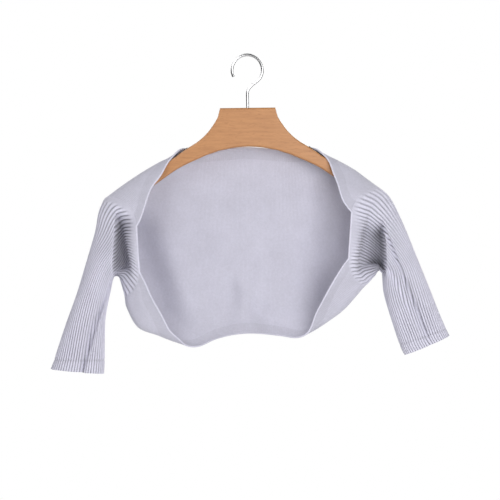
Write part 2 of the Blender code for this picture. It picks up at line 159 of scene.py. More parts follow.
# The cloth is a row of rings from the left cuff over the shoulders to the right cuff.
# Each ring runs from its top point (0 degrees) over the front (90) to its base (180) and
# up the back (270, or -90). top and base are points on the outer face, y is where the ring
# turns, fore and aft are its reach to the front and the back, and lean moves its front
# towards the middle. Over the body a ring is open, from start (at the upper edge) to end
# (at the lower edge). fold is a trough at that angle: its depth and its half width.
# gather is how much closer the ribs stand at the front edge. A top of None lies on the arm.
RING_COLUMNS = (
    "top_x", "top_z", "base_x", "base_z", "y", "fore", "aft", "lean_up", "lean_low",
    "start", "end", "fold", "deep", "wide", "gather",
)
RINGS = (
    ("left cuff end", -283, -452, -206, -459, -14, 26, 24, 0, 0, 90, -270, 104, 4, 9, 0.0),
    ("left cuff seam", -278, -439, -205, -439, -14, 26, 24, 0, 0, 90, -270, 106, 4, 9, 0.0),
    ("left forearm", -272, -420, -205, -417, -14, 27, 26, 0, 0, 90, -270, 110, 5, 10, 0.0),
    ("left elbow", -260, -384, -204, -379, -13, 31, 31, 0, 0, 90, -270, 122, 5, 11, 0.0),
    ("left upper arm", -246, -345, -197, -341, -11, 36, 36, 0, 0, 90, -270, 158, 5, 14, 0.1),
    ("left under arm", -233, -301, -192, -323, -9, 40, 38, 5, 5, 90, -270, 160, 9, 26, 0.4),
    ("left sleeve head", -220, -255, -187, -320, -8, 42, 38, 16, 16, 90, -270, 132, 17, 32, 0.8),
    ("left armhole", -215, -226, -184.5, -322, -7, 43, 37, 21, 21, 90, -270, 108, 21, 34, 1.1),
    ("left seam", -207, -208, -181, -333, -6, 44, 36, 22, 22, 83, -256, 105, 0, 35, 1.2),
    ("left corner", -200, -202, -177, -350, -5, 44, 35, 39, 26, 66.6, -241, 105, 0, 30, 1.2),
    ("left front 2", -180, -187, -174, -365, -4, 42, 35, 34, 38, 50, -225.7, 105, 0, 30, 1.0),
    ("left front 3", -154, None, -158, -393, -2, 40, 34, 21, 40, 37, -220, 105, 0, 30, 0.0),
    ("left front 4", -130, None, -129, -405, 0, 36, 33, 15, 45, 26.5, -202, 105, 0, 30, 0.0),
    ("left neck side", -108, None, -103, -415, 0, 30, 33, 6, 45, 7, -192, 105, 0, 30, 0.0),
    ("left neck", -83, -122, -72, -423, 1, 28, 35, 0, 40, -24, -172, 105, 0, 30, 0.0),
    ("left back", -47, -120, -42, -416, 2, 28, 36, 0, 0, -26, -163, 105, 0, 30, 0.0),
    ("middle back", 0, -119, 0, -411, 2, 28, 36, 0, 0, -24, -160, 105, 0, 30, 0.0),
    ("right back", 45, -120, 47, -412, 2, 28, 36, 0, 0, -26, -163, 105, 0, 30, 0.0),
    ("right neck", 81, -122, 71, -410, 1, 28, 35, 0, 40, -24, -172, 105, 0, 30, 0.0),
    ("right neck side", 111, None, 94, -400, 0, 30, 33, 6, 40, 7, -190, 105, 0, 30, 0.0),
    ("right front 4", 134, None, 116, -386, 0, 36, 33, 15, 42, 29, -205, 105, 0, 30, 0.0),
    ("right front 3", 156, None, 140, -368, -2, 40, 34, 26, 42, 41, -217, 105, 0, 30, 0.0),
    ("right front 2", 174, -178, 158, -348, -4, 42, 35, 34, 38, 52, -228, 105, 0, 30, 1.0),
    ("right corner", 189, -189, 170, -334, -5, 44, 35, 37, 28, 61, -244, 105, 0, 30, 1.2),
    ("right seam", 198, -195, 176, -329, -6, 44, 36, 24, 24, 74, -258, 105, 0, 35, 1.2),
    ("right armhole", 210, -209, 184, -320, -7, 43, 37, 26, 26, 90, -270, 105, 22, 35, 1.1),
    ("right sleeve head", 227, -245, 191, -311, -8, 42, 38, 18, 18, 90, -270, 130, 18, 28, 0.8),
    ("right under arm", 247, -295, 195, -314, -9, 40, 38, 4, 4, 90, -270, 122, 9, 15, 0.4),
    ("right upper arm", 263, -335, 197, -341, -11, 36, 36, 0, 0, 90, -270, 109, 6, 12, 0.1),
    ("right elbow", 277, -371, 205, -371, -13, 31, 31, 0, 0, 90, -270, 99, 5, 10, 0.0),
    ("right cuff seam", 287, -394, 220, -417, -14, 26, 25, 0, 0, 90, -270, 90, 4, 9, 0.0),
    ("right cuff end", 292, -404, 227, -432, -14, 26, 24, 0, 0, 90, -270, 87, 4, 9, 0.0),
)
PLACES = [row[0] for row in RINGS]

# Soft folds of the hanging cloth, each along a line of the front view. deep pushes the
# back panel (or the front) that much to the front.
# Columns: panel, from_x, from_z, to_x, to_z, wide, deep.
FOLDS = (
    ("back", -166, -262, -106, -412, 28, -13),
    ("back", -118, -268, -68, -404, 24, 7),
    ("back", -22, -345, -30, -400, 13, -5),
    ("back", -6, -330, 2, -385, 12, 5),
    ("back", 62, -270, 52, -360, 26, 5),
    ("back", 22, -378, 90, -408, 19, -10),
    ("back", 110, -180, 120, -330, 28, -7),
    ("front", 108, -352, 132, -318, 8, 3),
    ("front", 122, -372, 158, -330, 9, -3),
    ("front", -142, -345, -126, -385, 10, -3),
    ("front", -160, -330, -150, -372, 9, 3),
    ("front", -180, -350, -112, -410, 28, -10),
    ("front", 80, -396, 150, -300, 18, 6),
    ("front", 246, -368, 259, -396, 8, -6),
)

# Sharp creases where the cloth laps over itself, each along a line of the front view from
# its upper to its lower end. left and right are how far the cloth beside the line stands
# to the front, and the wides are how far that reaches.
# Columns: panel, from_x, from_z, to_x, to_z, left_wide, left, right_wide, right.
CREASES = (
    ("front", 196, -264, 198, -302, 26, -44, 12, 4),
    ("front", 202, -262, 255, -391, 6, -6, 14, 4),
    ("front", -188, -250, -190, -297, 12, 3, 18, -40),
    ("front", -205, -359, -234, -456, 7, -5, 12, 3),
    ("back", 196, -256, 198, -296, 18, 4, 12, -2),
    ("back", 205, -292, 250, -392, 10, 4, 12, -2),
    ("back", -188, -252, -190, -290, 12, -2, 16, 4),
    ("back", -208, -352, -229, -422, 10, 3, 12, -3),
)

# How wide a crease's step is, how far it fades past its ends, and the least room that it
# finds between a ring's front and back.
CREASE_SHARP = 1.4
CREASE_END = 16.0
LEAST_ROOM = 1.0

# How far a sleeve's wall sinks at the seam of its cuff.
SEAM_SINK = 0.5

# Yarn tones of the pieces against the plain yarn, and the painted shade at the bottom of a groove.
SLEEVE_TONE = 1.28
EDGE_TONE = 1.25
BAND_TONE = 0.93
GROOVE_SHADE_TONE = 0.36

# Stitches of each piece: width of a wale, height of a course and depth of the relief.
BODY_STITCH = (1.9, 1.4, 0.22)
BAND_STITCH = (1.45, 1.2, 0.18)
SLEEVE_STITCH = (1.3, 1.2, 0.18)
EDGE_STITCH = (1.3, 1.2, 0.12)

# Knit finish: how far the wales wander, lean of a stitch's legs, share of the hairs in the
# relief, tones of the clouds, painted shade between stitches, and scales of the noises.
WANDER_M = 0.0006
STITCH_LEAN = 1.1
HAIR_SHARE = 0.8
CLOUD_TONES = (0.9, 1.06)
SHADE_BETWEEN_STITCHES = 0.84
WANDER_SCALE = 220.0
HAIR_SCALE = 1900.0
CLOUD_SCALES = (26.0, 330.0)

# Wood finish: scales of the level grain and of the short flecks.
GRAIN_SCALE = (9.0, 60.0, 95.0)
FLECK_SCALE = (150.0, 900.0, 1400.0)

# How far the painted shade attribute falls towards the groove's painted shade tone: where no rib
# has risen, in a cleft CLEFT_FULL deep that faces less to the back than CLEFT_FACING, at a cuff's
# seam, and on the rear part of the open front's edge, over EDGE_CHANGE of depth.
PLAIN_SHADE = 0.3
CLEFT_SHADE = 0.6
CLEFT_FULL = 36.0
CLEFT_FACING = 0.3
SEAM_SHADE = 0.16
EDGE_REAR_SHADE = 0.36
EDGE_CHANGE = 24.0

# Base colours in linear light.
LILAC = (0.60, 0.59, 0.69)
BEECH = (0.46, 0.215, 0.082)
BEECH_DARK = (0.31, 0.12, 0.04)
STEEL = (0.62, 0.62, 0.63)
CHARCOAL = (0.04, 0.038, 0.04)

# Studio: the middle of the picture, the camera's distance, what it takes in and its
# sensor's width, and the round floor.
MIDDLE_M = (0.00435, 0.0, -0.2809)
CAMERA_AWAY_M = 2.6
FRAME_WIDE_M = 0.725
SENSOR_WIDE = 36.0
FLOOR_RADIUS_M = 2.4
FLOOR_HEIGHT_M = -1.0
FLOOR_SIDES = 96

# Strength of the even light, and the soft lamps round the middle of the picture.
# Columns: name, azimuth (0 is the camera's side), elevation, size in metres, watts.
AMBIENT = 0.14
LIGHT_AWAY_M = 2.4
LIGHTS = (
    ("key", 22, 3, 1.3, 37.0),
    ("second", -30, 30, 1.2, 15.0),
    ("top_left", -62, 52, 1.0, 10.0),
    ("back_left", -150, 30, 1.4, 24.0),
    ("back_right", 150, 30, 1.4, 24.0),
)


def place(name):
    """Position of a named ring in the row of rings."""
    return float(PLACES.index(name))


def half_height(out, column):
    """Height of the hanger's upper or lower outline at a distance from its middle."""
    at = HANGER_COLUMNS.index(column)
    return float(np.interp(out, [row[0] for row in HANGER_HALF], [row[at] for row in HANGER_HALF]))


def rolled(x, z):
    """Point of the level hanger after its slight roll about the hook's crown."""
    turn = math.radians(-ROLL)
    return x * math.cos(turn) + z * math.sin(turn), -x * math.sin(turn) + z * math.cos(turn)


def carried_height(x):
    """Height of the cloth's outer face on top of the arm, with the strip under it."""
    step = 2.0
    stack = GAP + STRIP_THICK + REST_GAP + BODY_WALL
    level_x, height = x, 0.0
    for _ in range(4):
        out = abs(level_x)
        slope = (half_height(out - step, "top") - half_height(out + step, "top")) / (2 * step)
        level = half_height(out, "top") + stack * math.hypot(1.0, slope)
        found_x, height = rolled(level_x, level)
        level_x += x - found_x
    return height


def ring_numbers():
    """The ring table as numbers, with the tops that lie on the arms filled in."""
    rows = []
    for row in RINGS:
        numbers = list(row[1:])
        if numbers[1] is None:
            numbers[1] = carried_height(numbers[0])
        rows.append(numbers)
    return np.array(rows, float)


NUMBERS = ring_numbers()


def smooth_rows(values, u):
    """Values at whole places read smoothly at fractional places."""
    last = len(values) - 1
    u = np.clip(np.asarray(u, float), 0.0, last)
    i = np.minimum(u.astype(int), last - 1)
    t = u - i
    before, a = values[np.maximum(i - 1, 0)], values[i]
    b, after = values[i + 1], values[np.minimum(i + 2, last)]
    bend = 2 * before - 5 * a + 4 * b - after
    return 0.5 * (2 * a + (b - before) * t + bend * t**2 + (3 * a - before - 3 * b + after) * t**3)


def column(u, name):
    """One column of the ring table at fractional places."""
    return smooth_rows(NUMBERS[:, RING_COLUMNS.index(name)], u)


def turned(angle):
    """Reach of a ring at an angle, 0 at its folds and 1 at its middle."""
    soft = FOLD_SOFT ** (FOLD_POWER / 2)
    s = np.sin(angle) ** 2
    return ((s + FOLD_SOFT) ** (FOLD_POWER / 2) - soft) / ((1 + FOLD_SOFT) ** (FOLD_POWER / 2) - soft)


def fold_push(x, z, back):
    """How far the soft folds push the cloth at points of the front view."""
    push = np.zeros_like(x)
    for panel, from_x, from_z, to_x, to_z, wide, deep in FOLDS:
        long_x, long_z = to_x - from_x, to_z - from_z
        length = math.hypot(long_x, long_z)
        along = ((x - from_x) * long_x + (z - from_z) * long_z) / length
        across = ((x - from_x) * long_z - (z - from_z) * long_x) / length
        past = np.maximum(np.maximum(-along, along - length), 0.0)
        away = (across / wide) ** 2 + (past / (FOLD_END * wide)) ** 2
        share = back if panel == "back" else 1.0 - back
        push += share * deep * np.exp(-away)
    return push


def crease_push(x, z, back):
    """How far the sharp creases push the cloth at points of the front view."""
    push = np.zeros_like(x)
    for panel, from_x, from_z, to_x, to_z, left_wide, left_high, right_wide, right_high in CREASES:
        long_x, long_z = to_x - from_x, to_z - from_z
        length = math.hypot(long_x, long_z)
        along = ((x - from_x) * long_x + (z - from_z) * long_z) / length
        right = ((z - from_z) * long_x - (x - from_x) * long_z) / length
        past = np.maximum(np.maximum(-along, along - length), 0.0)
        wide = np.where(right < 0, left_wide, right_wide)
        high = np.where(right < 0, left_high, right_high) * np.tanh(np.abs(right) / CREASE_SHARP)
        share = back if panel == "back" else 1.0 - back
        push += share * high * np.exp(-((right / wide) ** 2) - (past / CREASE_END) ** 2)
    return push


def cloth(u, angle, creased=True):
    """Points of the cloth's outer face at places u and angles round the rings.

    Without creased, its troughs and creases are left out and its soft folds stay.
    """
    u, degrees = np.broadcast_arrays(np.asarray(u, float), np.asarray(angle, float))
    a = np.radians(degrees)
    ring = {name: column(u, name) for name in RING_COLUMNS}
    front = np.sin(a) > 0
    reach = turned(a)
    share = 0.5 * (1 + np.cos(a))
    lean = ring["lean_low"] + (ring["lean_up"] - ring["lean_low"]) * share
    grow = np.minimum(np.abs(np.sin(a)) / LEAN_FULL, 1.0)
    side = np.sign(-ring["top_x"])
    x = ring["base_x"] + (ring["top_x"] - ring["base_x"]) * share
    x = x + np.where(front, side * lean * (3 * grow**2 - 2 * grow**3), 0.0)
    z = ring["base_z"] + (ring["top_z"] - ring["base_z"]) * share
    y = ring["y"] + np.where(front, -ring["fore"], ring["aft"]) * reach
    back = 0.5 - 0.5 * np.clip(np.sin(a) / BACK_TURN, -1.0, 1.0)
    edge = np.minimum(reach / EDGE_REACH, 1.0) ** 2
    y = y - edge * fold_push(x, z, back)
    points = np.stack([x, y, z], axis=-1)
    if not creased:
        return points
    centre = np.stack([
        x + (0.5 * (ring["top_x"] + ring["base_x"]) - x) * (1 - edge),
        ring["y"] + 0.5 * (ring["aft"] - ring["fore"]),
        z + (0.5 * (ring["top_z"] + ring["base_z"]) - z) * (1 - edge),
    ], axis=-1)
    inward = centre - points
    inward /= np.linalg.norm(inward, axis=-1, keepdims=True) + 1e-9
    off = (degrees - ring["fold"] + 180.0) % 360.0 - 180.0
    trough = ring["deep"] * np.exp(-((off / ring["wide"]) ** 2))
    points = points + inward * trough[..., None]
    room = (ring["fore"] + ring["aft"]) * reach + LEAST_ROOM
    crease = edge * crease_push(points[..., 0], points[..., 2], back)
    points[..., 1] -= room * np.tanh(crease / room)
    return points


def outward(u, angle):
    """Unit normals of the cloth's outer face."""
    du, da = 0.04, 1.5
    along = cloth(np.asarray(u) + du, angle) - cloth(np.asarray(u) - du, angle)
    around = cloth(u, np.asarray(angle) + da) - cloth(u, np.asarray(angle) - da)
    normal = np.cross(around, along)
    return normal / (np.linalg.norm(normal, axis=-1, keepdims=True) + 1e-12)


def ring_run(u, first, last, samples=241, creased=True):
    """Angles along one ring and the distance from the first to each of them."""
    angles = np.linspace(first, last, samples)
    points = cloth(np.full(samples, u), angles, creased)
    steps = np.linalg.norm(np.diff(points, axis=0), axis=1)
    return angles, np.concatenate([[0.0], np.cumsum(steps)])


def open_span(u):
    """Angles at which an open ring starts and ends: constant outside the two corners."""
    inside = min(max(u, place("left corner")), place("right corner"))
    return float(column(inside, "start")), float(column(inside, "end"))


def ring_turning(u, angles):
    """How far a ring's direction has turned by each angle, in radians."""
    points = cloth(np.full(len(angles), u), angles)
    way = np.diff(points, axis=0)
    way /= np.linalg.norm(way, axis=1, keepdims=True)
    bends = np.arccos(np.clip(np.sum(way[1:] * way[:-1], axis=1), -1.0, 1.0))
    return np.concatenate([[0.0], np.cumsum(bends), [bends.sum()]])


def band_grid(places, first, last, rows, closer=0.0):
    """Grid between two distances from the start of each ring; below 0 is from its end."""
    grid_u = np.repeat(np.asarray(places)[:, None], rows, axis=1)
    grid_a = np.zeros_like(grid_u)
    for i, u in enumerate(places):
        start, end = open_span(u)
        angles, run = ring_run(u, start, end)
        near = first if first >= 0 else run[-1] + first
        far = last if last > 0 else run[-1] + last
        weight = run + closer * ring_turning(u, angles)
        bounds = np.interp([near, far], run, weight)
        grid_a[i] = np.interp(np.linspace(bounds[0], bounds[1], rows), weight, angles)
    return grid_u, grid_a


def rib_angles(u, count):
    """Angles of count points round a closed ring, closer where the ribs are gathered."""
    angles, run = ring_run(u, 0.0, 360.0, 721, False)
    off = (angles - GATHER_AT) / GATHER_WIDE
    density = 1.0 + float(column(u, "gather")) * np.exp(-(off**2))
    steps = np.diff(run) * 0.5 * (density[1:] + density[:-1])
    weight = np.concatenate([[0.0], np.cumsum(steps)])
    return np.interp(np.arange(count) * weight[-1] / count, weight, angles)


def shifted(u, distance, side):
    """Place a distance further along the cloth from u, on its back; side is +1 or -1."""
    step = 0.05 * side
    length = float(np.linalg.norm(cloth(u + step, -90.0) - cloth(u, -90.0)))
    return u + step * distance / length


def spread_places(first, last, step):
    """Places between two, about one step of cloth apart."""
    fine = np.linspace(first, last, 400)
    runs = []
    for angle in (-90.0, 90.0, 0.0, 180.0):
        points = cloth(fine, np.full(fine.shape, angle))
        runs.append(np.concatenate([[0.0], np.cumsum(np.linalg.norm(np.diff(points, axis=0), axis=1))]))
    run = np.mean(runs, axis=0)
    count = max(int(round(run[-1] / step)) + 1, 3)
    return np.interp(np.linspace(0.0, run[-1], count), run, fine)


def flat_lengths(points, closed):
    """Distances round and along the cloth at each grid point, for its UV map."""
    loop = np.concatenate([points, points[:, :1]], axis=1) if closed else points
    around = np.linalg.norm(np.diff(loop, axis=1), axis=2)
    around = np.concatenate([np.zeros((len(points), 1)), np.cumsum(around, axis=1)], axis=1)
    if closed:
        around = np.repeat(around.mean(axis=0)[None, :], len(points), axis=0)
    around = around - 0.5 * around[:, -1:]
    along = np.linalg.norm(np.diff(points, axis=0), axis=2).mean(axis=1)
    along = np.concatenate([[0.0], np.cumsum(along)])
    return around, np.repeat(along[:, None], around.shape[1], axis=1)


def shell(name, outer, inner, closed, material, painted_brightness=None):
    """Closed wall between two grids of points, with the flat cloth's sizes as its UV map.

    Its last argument is the painted shade of each outer point, 1 where none is painted and less in grooves
    and clefts; it is kept as an attribute.
    """
    rows, columns = outer.shape[:2]
    layer = rows * columns
    around, along = flat_lengths(inner, closed)
    wide = around.shape[1]
    r, c = np.meshgrid(np.arange(rows - 1), np.arange(wide - 1), indexing="ij")
    n = (c + 1) % columns
    corner = np.stack([r * columns + c, r * columns + n, (r + 1) * columns + n, (r + 1) * columns + c], -1)
    corner = corner.reshape(-1, 4)
    spot = np.stack([r * wide + c, r * wide + c + 1, (r + 1) * wide + c + 1, (r + 1) * wide + c], -1)
    spot = spot.reshape(-1, 4)
    quads, spots = [corner, corner[:, ::-1] + layer], [spot, spot[:, ::-1]]
    edges = [[(0, j) for j in range(wide)], [(rows - 1, j) for j in range(wide)]]
    if not closed:
        edges += [[(i, 0) for i in range(rows)], [(i, columns - 1) for i in range(rows)]]
    for edge in edges:
        at = np.array([i * columns + j % columns for i, j in edge])
        flat = np.array([i * wide + j for i, j in edge])
        quads.append(np.stack([at[:-1], at[1:], at[1:] + layer, at[:-1] + layer], -1))
        spots.append(np.stack([flat[:-1], flat[1:], flat[1:], flat[:-1]], -1))
    vertices = np.concatenate([outer.reshape(-1, 3), inner.reshape(-1, 3)]) * MM
    flat_map = np.stack([around.ravel(), along.ravel()], -1)[np.concatenate(spots).ravel()] * MM
    piece = mesh_piece(name, vertices, np.concatenate(quads), flat_map, material)
    heights = np.ones(2 * layer, np.float32)
    if painted_brightness is not None:
        heights[:layer] = painted_brightness.ravel()
    piece.data.attributes.new("painted_brightness", "FLOAT", "POINT").data.foreach_set("value", heights)
    return piece


def mesh_piece(name, vertices_m, quads, flat_map_m, material):
    """A smooth piece of these quads that rides on the part's one body."""
    mesh = bpy.data.meshes.new(name)
    mesh.from_pydata(vertices_m.tolist(), [], quads.tolist())
    if flat_map_m is not None:
        layer = mesh.uv_layers.new(name="flat_cloth")
        layer.data.foreach_set("uv", flat_map_m.astype(np.float32).ravel())
    work = bmesh.new()
    work.from_mesh(mesh)
    bmesh.ops.recalc_face_normals(work, faces=work.faces)
    work.to_mesh(mesh)
    work.free()
    mesh.shade_smooth()
    mesh.set_sharp_from_angle(angle=math.radians(SHARP_ANGLE))
    mesh.materials.append(material)
    obj = bpy.data.objects.new(name, mesh)
    bpy.context.scene.collection.objects.link(obj)
    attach(obj, "root")
    return obj


def close_ends(piece):
    """Fill a piece's open ends with flat faces."""
    work = bmesh.new()
    work.from_mesh(piece.data)
    bmesh.ops.holes_fill(work, edges=[e for e in work.edges if e.is_boundary], sides=0)
    bmesh.ops.recalc_face_normals(work, faces=work.faces)
    work.to_mesh(piece.data)
    work.free()
    piece.data.set_sharp_from_angle(angle=math.radians(SHARP_ANGLE))


class Nodes:
    """A material's node tree with short calls for the nodes used here."""

    def __init__(self, name, roughness):
        self.material = bpy.data.materials.new(name)
        self.material.use_nodes = True
        self.tree = self.material.node_tree
        self.shader = self.tree.nodes["Principled BSDF"]
        self.shader.inputs["Roughness"].default_value = roughness

    def add(self, kind, **values):
        node = self.tree.nodes.new("ShaderNode" + kind)
        for key, value in values.items():
            if hasattr(node, key):
                setattr(node, key, value)
            else:
                node.inputs[key.replace("_", " ")].default_value = value
        return node

    def link(self, source, target):
        self.tree.links.new(source, target)

    def math(self, operation, first, second=None):
        node = self.tree.nodes.new("ShaderNodeMath")
        node.operation = operation
        for socket, value in zip(node.inputs, (first, second)):
            if value is None:
                continue
            if isinstance(value, (int, float)):
                socket.default_value = value
            else:
                self.link(value, socket)
        return node.outputs[0]

    def mix(self, share, first, second):
        node = self.add("Mix", data_type="RGBA")
        for socket, value in ((node.inputs[0], share), (node.inputs[6], first), (node.inputs[7], second)):
            if isinstance(value, tuple):
                socket.default_value = (*value, 1.0)
            elif isinstance(value, (int, float)):
                socket.default_value = value
            else:
                self.link(value, socket)
        return node.outputs[2]

    def noise(self, source, scale, detail=2.0):
        node = self.add("TexNoise", Scale=scale, Detail=detail)
        self.link(source, node.inputs["Vector"])
        return node.outputs["Fac"]

    def bump(self, height, distance_m, strength):
        node = self.add("Bump", Distance=distance_m, Strength=strength)
        self.link(height, node.inputs["Height"])
        self.link(node.outputs["Normal"], self.shader.inputs["Normal"])


def knit_material(name, wale_mm, course_mm, deep_mm, turned_stitches=False, tone=1.0):
    """Fine knit: rows of small V stitches, soft hairy surface, slight cloudiness and painted shade."""
    yarn = tuple(c * tone for c in LILAC)
    n = Nodes(name, 0.92)
    spots = n.add("UVMap", uv_map="flat_cloth")
    split = n.add("SeparateXYZ")
    n.link(spots.outputs["UV"], split.inputs[0])
    across, along = split.outputs[0], split.outputs[1]
    if turned_stitches:
        across, along = along, across
    local = n.add("TexCoord").outputs["Object"]
    wander = n.math("MULTIPLY", n.math("SUBTRACT", n.noise(local, WANDER_SCALE), 0.5), WANDER_M)
    across = n.math("ADD", across, wander)
    leg = n.math("PINGPONG", across, 0.0005 * wale_mm)
    slope = n.math("MULTIPLY", leg, STITCH_LEAN)
    loop = n.math("MULTIPLY", n.math("ADD", along, slope), 2000 * math.pi / course_mm)
    strand = n.math("MULTIPLY", n.math("SINE", loop), 0.5)
    wale = n.math("SINE", n.math("MULTIPLY", leg, 1000 * math.pi / wale_mm))
    height = n.math("ADD", n.math("MULTIPLY", strand, wale), wale)
    hair = n.noise(local, HAIR_SCALE, 3.0)
    height = n.math("ADD", height, n.math("MULTIPLY", hair, HAIR_SHARE))
    n.bump(height, 0.001 * deep_mm, 0.8)
    cloudy = n.math("ADD", *[n.noise(local, scale, 3.0) for scale in CLOUD_SCALES])
    cloudy = n.math("MULTIPLY", n.math("SUBTRACT", cloudy, 0.72), 1.8)
    cloudy = n.math("MINIMUM", n.math("MAXIMUM", cloudy, 0.0), 1.0)
    dull, bright = CLOUD_TONES
    cloud = n.mix(cloudy, tuple(c * dull for c in yarn), tuple(min(c * bright, 1.0) for c in yarn))
    # Painted shade between stitches: the low parts of the relief are darker.
    shade = n.math("MULTIPLY", n.math("ADD", height, 0.2), 0.55)
    stitches = n.mix(n.math("MINIMUM", shade, 1.0), tuple(c * SHADE_BETWEEN_STITCHES for c in yarn), cloud)
    # Painted shade from the attribute: the yarn falls towards the groove's shade tone.
    painted_brightness = n.add("Attribute", attribute_name="painted_brightness").outputs["Fac"]
    deep = n.mix(painted_brightness, tuple(c * GROOVE_SHADE_TONE for c in yarn), stitches)
    n.link(deep, n.shader.inputs["Base Color"])
    n.shader.inputs["Sheen Weight"].default_value = 0.25
    n.shader.inputs["Sheen Roughness"].default_value = 0.6
    n.shader.inputs["Specular IOR Level"].default_value = 0.25
    return n.material


def beech_material():
    """Clear-varnished beech: level grain, short dark flecks and faint growth bands."""
    n = Nodes("beech", 0.42)
    local = n.add("TexCoord").outputs["Object"]
    level = n.add("Mapping")
    level.inputs["Scale"].default_value = GRAIN_SCALE
    n.link(local, level.inputs["Vector"])
    grain = n.noise(level.outputs[0], 3.2, 5.0)
    fleck_map = n.add("Mapping")
    fleck_map.inputs["Scale"].default_value = FLECK_SCALE
    n.link(local, fleck_map.inputs["Vector"])
    flecks = n.noise(fleck_map.outputs[0], 1.0, 1.0)
    fleck = n.math("MULTIPLY", n.math("SUBTRACT", flecks, 0.62), 6.0)
    fleck = n.math("MINIMUM", n.math("MAXIMUM", fleck, 0.0), 0.55)
    stripe = n.math("MULTIPLY", n.math("SUBTRACT", grain, 0.38), 2.2)
    stripe = n.math("MINIMUM", n.math("MAXIMUM", stripe, 0.0), 1.0)
    pale = tuple(c * 1.08 for c in BEECH)
    wood = n.mix(n.math("MULTIPLY", stripe, 0.5), pale, BEECH_DARK)
    n.link(n.mix(fleck, wood, BEECH_DARK), n.shader.inputs["Base Color"])
    n.bump(grain, 0.00012, 0.35)
    n.shader.inputs["Coat Weight"].default_value = 0.12
    n.shader.inputs["Coat Roughness"].default_value = 0.3
    return n.material


def steel_material():
    """Bright wire with fine draw marks along it."""
    n = Nodes("bright_wire", 0.24)
    n.shader.inputs["Metallic"].default_value = 1.0
    local = n.add("TexCoord").outputs["Object"]
    marks = n.noise(local, 900.0, 3.0)
    rough = n.math("ADD", n.math("MULTIPLY", marks, 0.22), 0.14)
    n.link(rough, n.shader.inputs["Roughness"])
    n.link(n.mix(marks, STEEL, tuple(c * 0.82 for c in STEEL)), n.shader.inputs["Base Color"])
    n.bump(marks, 0.00004, 0.4)
    return n.material


def strip_material():
    """Dull soft strip with a fine grain."""
    n = Nodes("soft_strip", 0.85)
    local = n.add("TexCoord").outputs["Object"]
    specks = n.noise(local, 1500.0, 2.0)
    n.link(n.mix(specks, CHARCOAL, tuple(c * 2.2 for c in CHARCOAL)), n.shader.inputs["Base Color"])
    n.bump(specks, 0.00008, 0.5)
    return n.material


def pale_material():
    """Matt pale floor with the faintest unevenness."""
    n = Nodes("pale_floor", 0.9)
    local = n.add("TexCoord").outputs["Object"]
    n.link(n.mix(n.noise(local, 6.0), (0.86, 0.86, 0.86), (0.9, 0.9, 0.9)), n.shader.inputs["Base Color"])
    return n.material


def rib_profile(phase):
    """Height of a rib across its width: narrow grooves between full round ribs."""
    return np.sin(np.pi * (phase % 1.0)) ** RIB_ROUND


def body_places(step):
    """Places across the body, from one corner of the opening to the other."""
    left, right = place("left corner"), place("right corner")
    first, last = shifted(left, SEAM_LINE / 2, 1), shifted(right, SEAM_LINE / 2, -1)
    return spread_places(first, last, step)


def make_body():
    """Plain-knit panel: back, yokes and lower fronts."""
    upper, lower = NECK_BAND + SEAM_LINE, -(HEM_BAND + SEAM_LINE)
    u, a = band_grid(body_places(RING_STEP), upper, lower, BODY_ROWS, ROWS_AT_FOLDS)
    face, normal = cloth(u, a), outward(u, a)
    knit = knit_material("plain_knit", *BODY_STITCH, turned_stitches=True)
    piece = shell("body_knit", face, face - normal * BODY_WALL, False, knit)
    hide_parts("body")
    return piece


def make_band(name, first, last):
    """Ribbed edge band with fine ribs across it on both faces."""
    u, a = band_grid(body_places(FINE_RIB / FINE_RIB_POINTS), first, last, BAND_ROWS)
    face, normal = cloth(u, a), outward(u, a)
    middle = face[:, BAND_ROWS // 2]
    run = np.concatenate([[0.0], np.cumsum(np.linalg.norm(np.diff(middle, axis=0), axis=1))])
    rib = rib_profile(run / FINE_RIB)[:, None, None]
    other = rib_profile(run / FINE_RIB + 0.5)[:, None, None]
    outer = face + normal * (BAND_PROUD - FINE_RIB_DEEP * (1 - rib))
    inner = face + normal * (BAND_PROUD - BAND_WALL + FINE_RIB_DEEP * (1 - other))
    knit = knit_material(name + "_yarn", *BAND_STITCH, turned_stitches=True, tone=BAND_TONE)
    piece = shell(name + "_knit", outer, inner, False, knit)
    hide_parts(name)
    return piece


def rib_rise(distance, angle, after_top):
    """How far the ribs have risen at a distance from the seam and an angle round the ring."""
    round_top = np.cos(np.radians(angle))
    begin = after_top * np.clip(round_top, 0.0, 1.0) ** 2
    front = np.exp(-(((angle - SLOW_AT_ANGLE) / SLOW_WIDE) ** 2))
    length = RIBS_RISE + RIBS_SLOW_RISE * front
    share = np.clip((distance - begin) / length, 0.0, 1.0)
    return share * share * (3 - 2 * share)


